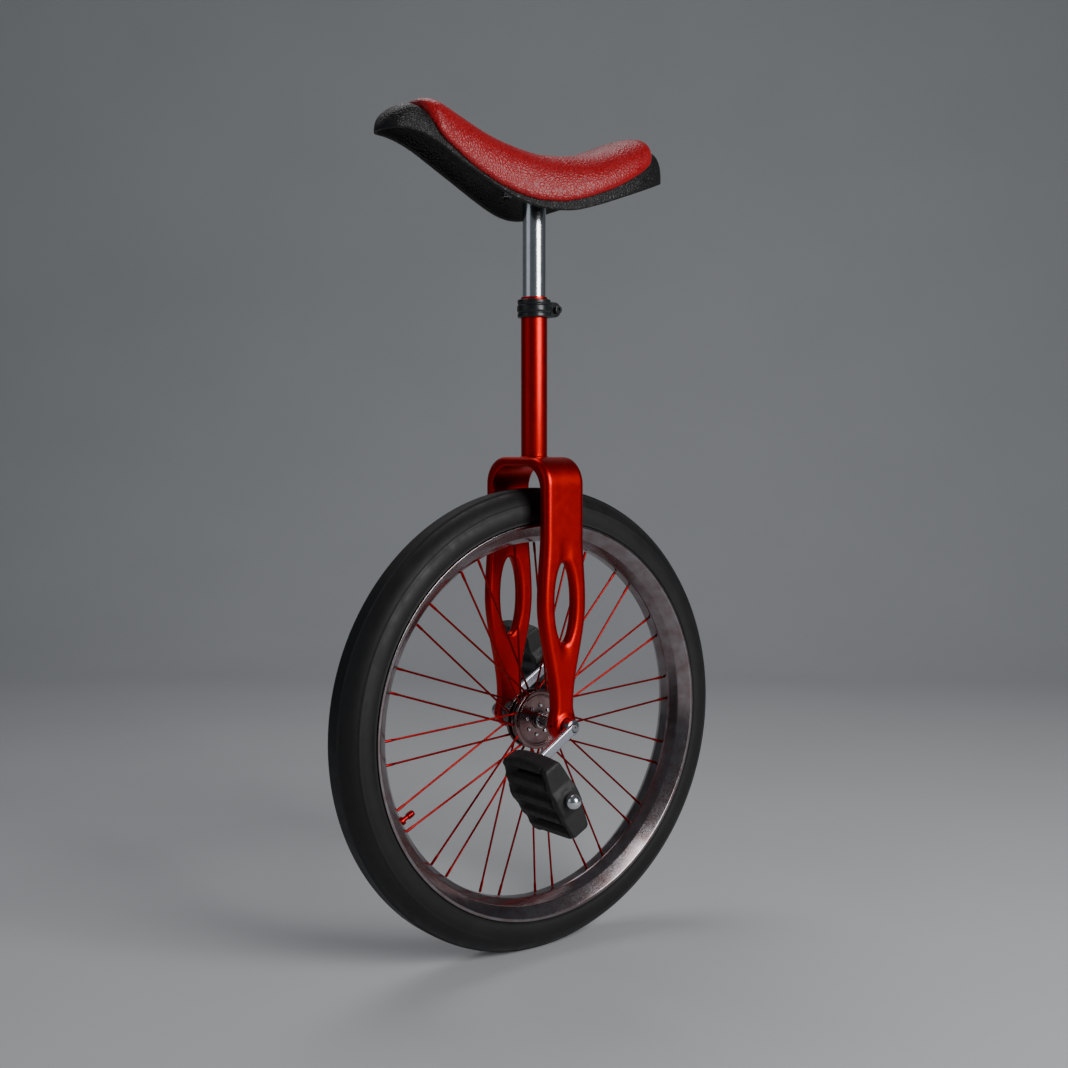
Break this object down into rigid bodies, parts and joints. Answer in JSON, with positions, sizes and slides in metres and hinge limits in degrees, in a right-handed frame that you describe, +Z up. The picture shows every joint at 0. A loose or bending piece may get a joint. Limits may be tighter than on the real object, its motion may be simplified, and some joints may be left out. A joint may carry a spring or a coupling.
{
  "type": "unicycle",
  "caption": "Direct-drive unicycle: a spoked wheel in a two-legged frame, opposed cranks with spinning pedals, and a curved padded saddle on a sliding clamped post.",
  "frame": {"origin": "the point where the tyre meets the ground, straight under the middle of the axle", "axes": "+X forward, towards the saddle's nose; +Y to the rider's left, along the axle; +Z up, along the seatpost"},
  "size_m": [0.51, 0.3376, 0.9081],
  "materials": {
    "tyre": "satin black rubber, smooth tread",
    "tube_rubber": "matt black butyl",
    "polished_alloy": "mirror-polished alloy",
    "spoke_red": "glossy translucent red over metal",
    "chrome": "mirror chrome",
    "frame_red": "glossy candy red",
    "black_alloy": "satin black",
    "steel": "plain zinc-plated steel",
    "pedal_black": "grained matt black",
    "shell_black": "pebbled matt black",
    "pad_red": "pebbled satin red"
  },
  "bodies": {
    "frame": {"frame": "frame_red", "bearing_left": "steel", "bearing_right": "steel", "seat_collar": "black_alloy", "collar_bolt": "black_alloy"},
    "seat": {"seatpost": "chrome", "saddle_nut_1": "steel", "saddle_nut_2": "steel", "saddle_nut_3": "steel", "saddle_nut_4": "steel", "saddle_shell": "shell_black", "saddle_pad": "pad_red"},
    "wheel": {"tyre": "tyre", "inner_tube": "tube_rubber", "rim": "polished_alloy", "valve_stem": "spoke_red", "hub_shell": "chrome", "axle": "chrome", "spoke_01": "spoke_red", "spoke_02": "spoke_red", "spoke_03": "spoke_red", "spoke_04": "spoke_red", "spoke_05": "spoke_red", "spoke_06": "spoke_red", "spoke_07": "spoke_red", "spoke_08": "spoke_red", "spoke_09": "spoke_red", "spoke_10": "spoke_red", "spoke_11": "spoke_red", "spoke_12": "spoke_red", "spoke_13": "spoke_red", "spoke_14": "spoke_red", "spoke_15": "spoke_red", "spoke_16": "spoke_red", "spoke_17": "spoke_red", "spoke_18": "spoke_red", "spoke_19": "spoke_red", "spoke_20": "spoke_red", "spoke_21": "spoke_red", "spoke_22": "spoke_red", "spoke_23": "spoke_red", "spoke_24": "spoke_red", "spoke_25": "spoke_red", "spoke_26": "spoke_red", "spoke_27": "spoke_red", "spoke_28": "spoke_red", "spoke_29": "spoke_red", "spoke_30": "spoke_red", "spoke_31": "spoke_red", "spoke_32": "spoke_red", "crank_left": "polished_alloy", "crank_right": "polished_alloy", "crank_bolt_left": "steel", "crank_bolt_right": "steel", "pedal_spindle_left": "steel", "pedal_spindle_right": "steel"},
    "left_pedal": {"pedal_body_left": "pedal_black", "pedal_ball_left": "chrome"},
    "right_pedal": {"pedal_body_right": "pedal_black", "pedal_ball_right": "chrome"}
  },
  "joints": [
    {"name": "wheel_spin", "type": "hinge", "parent": "frame", "child": "wheel", "pos_m": [0, 0, 0.255], "axis": [0, 1, 0], "continuous": true},
    {"name": "left_pedal_spin", "type": "hinge", "parent": "wheel", "child": "left_pedal", "pos_m": [0.07675, 0.1175, 0.20611], "axis": [0, 1, 0], "continuous": true},
    {"name": "right_pedal_spin", "type": "hinge", "parent": "wheel", "child": "right_pedal", "pos_m": [-0.07675, -0.1175, 0.30389], "axis": [0, 1, 0], "continuous": true},
    {"name": "seatpost_slide", "type": "slide", "parent": "frame", "child": "seat", "axis": [0, 0, 1], "range_m": [-0.08, 0.025]}
  ]
}
